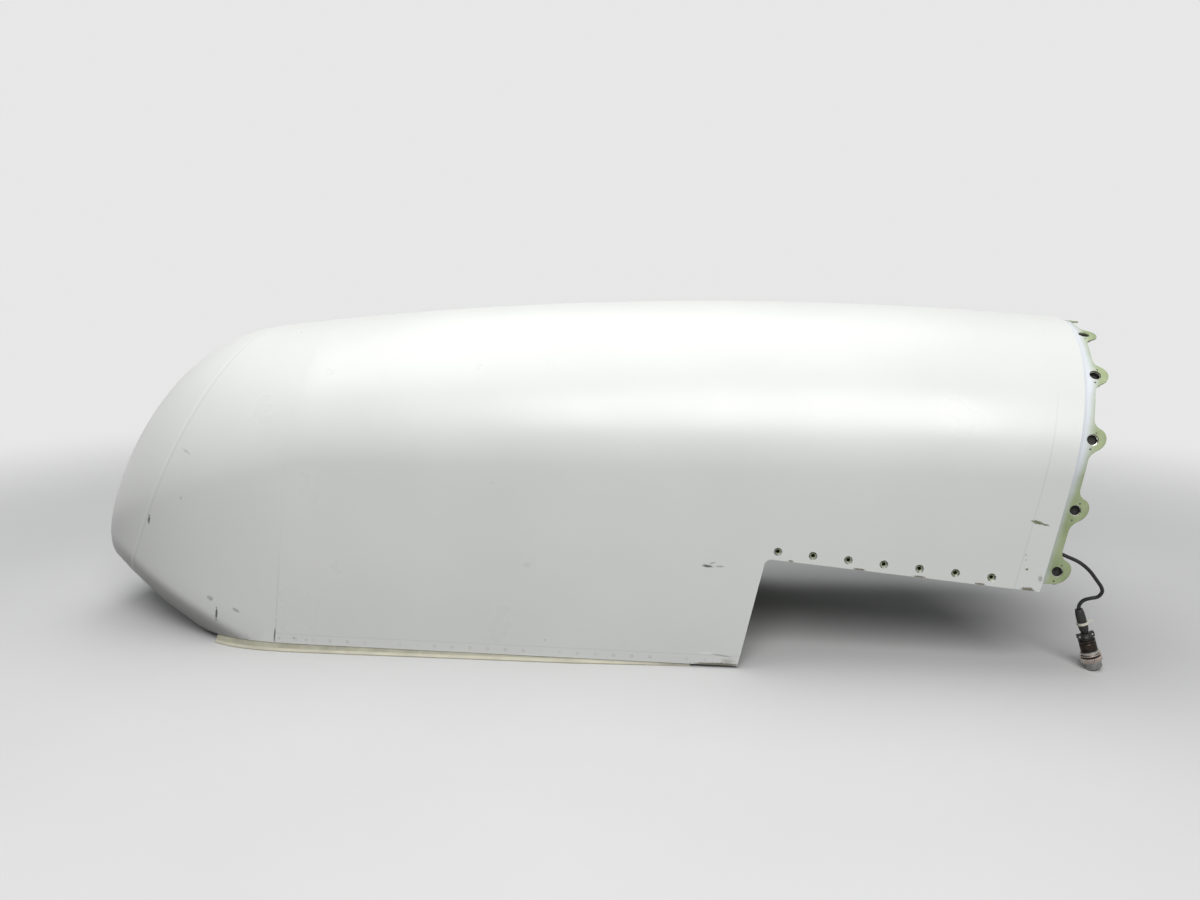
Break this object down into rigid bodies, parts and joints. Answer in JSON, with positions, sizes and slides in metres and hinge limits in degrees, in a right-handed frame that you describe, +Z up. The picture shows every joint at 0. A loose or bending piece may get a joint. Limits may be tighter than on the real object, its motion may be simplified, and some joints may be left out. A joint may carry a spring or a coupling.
{
  "type": "nacelle fairing",
  "caption": "White blunt-nosed trough-shaped sheet metal fairing with a side notch, a scalloped attach flange, sill seals and a short lead with a round connector.",
  "frame": {"origin": "on the floor under the seals, in the middle of the fairing's length and width, the lead's plug left out", "axes": "+X along the length towards the scalloped attach flange, +Y towards the side without the lead, +Z up to the crown"},
  "size_m": [1.3383, 0.4084, 0.4392],
  "materials": {
    "painted_skin": "semi-gloss white paint",
    "primed_sheet": "matte pale green primer",
    "steel": "satin",
    "seal_rubber": "matte cream rubber",
    "lead_sheath": "matte black sheath",
    "black_rubber": "matte",
    "pale_plastic": "matte",
    "grey_metal": "satin",
    "tan_metal": "bright plated",
    "dark_metal": "dark anodised",
    "black_plastic": "matte"
  },
  "bodies": {
    "fairing": {"attach_flange": "primed_sheet", "backshell_barrel": "dark_metal", "cable_clamp": "black_plastic", "cap_former": "primed_sheet", "clamp_cushion_1": "black_rubber", "clamp_cushion_2": "black_rubber", "clamp_saddle": "black_plastic", "clamp_screw_1": "steel", "clamp_screw_2": "steel", "connector_insert": "black_plastic", "connector_shell": "grey_metal", "crown_stringer_aft": "primed_sheet", "crown_stringer_front": "primed_sheet", "end_former": "primed_sheet", "grommet": "black_rubber", "keeper_ring": "steel", "lead_boot": "black_rubber", "lead_clamp_1": "steel", "lead_clamp_2": "steel", "lead_end_cap": "pale_plastic", "lead_free": "lead_sheath", "lead_inside": "lead_sheath", "lead_tie": "pale_plastic", "main_skin": "painted_skin", "nose_cap": "painted_skin", "nose_former": "primed_sheet", "nose_skin": "painted_skin", "notch_angle_far": "primed_sheet", "notch_angle_near": "primed_sheet", "notch_former": "primed_sheet", "receptacle_1": "steel", "receptacle_10": "steel", "receptacle_11": "steel", "receptacle_2": "steel", "receptacle_3": "steel", "receptacle_4": "steel", "receptacle_5": "steel", "receptacle_6": "steel", "receptacle_7": "steel", "receptacle_8": "steel", "receptacle_9": "steel", "saddle_screw_1": "steel", "saddle_screw_2": "steel", "seal_strip_far": "seal_rubber", "seal_strip_near": "seal_rubber", "side_stringer_far_aft": "primed_sheet", "side_stringer_far_front": "primed_sheet", "side_stringer_near_aft": "primed_sheet", "side_stringer_near_front": "primed_sheet", "sill_angle_far": "primed_sheet", "sill_angle_near": "primed_sheet"},
    "coupling_ring": {"coupling_ring": "tan_metal"}
  },
  "joints": [
    {"name": "coupling_ring_turn", "type": "hinge", "parent": "fairing", "child": "coupling_ring", "pos_m": [0.65975, -0.155, 0.01653], "axis": [-0.3007, 0, 0.9537], "continuous": true}
  ]
}
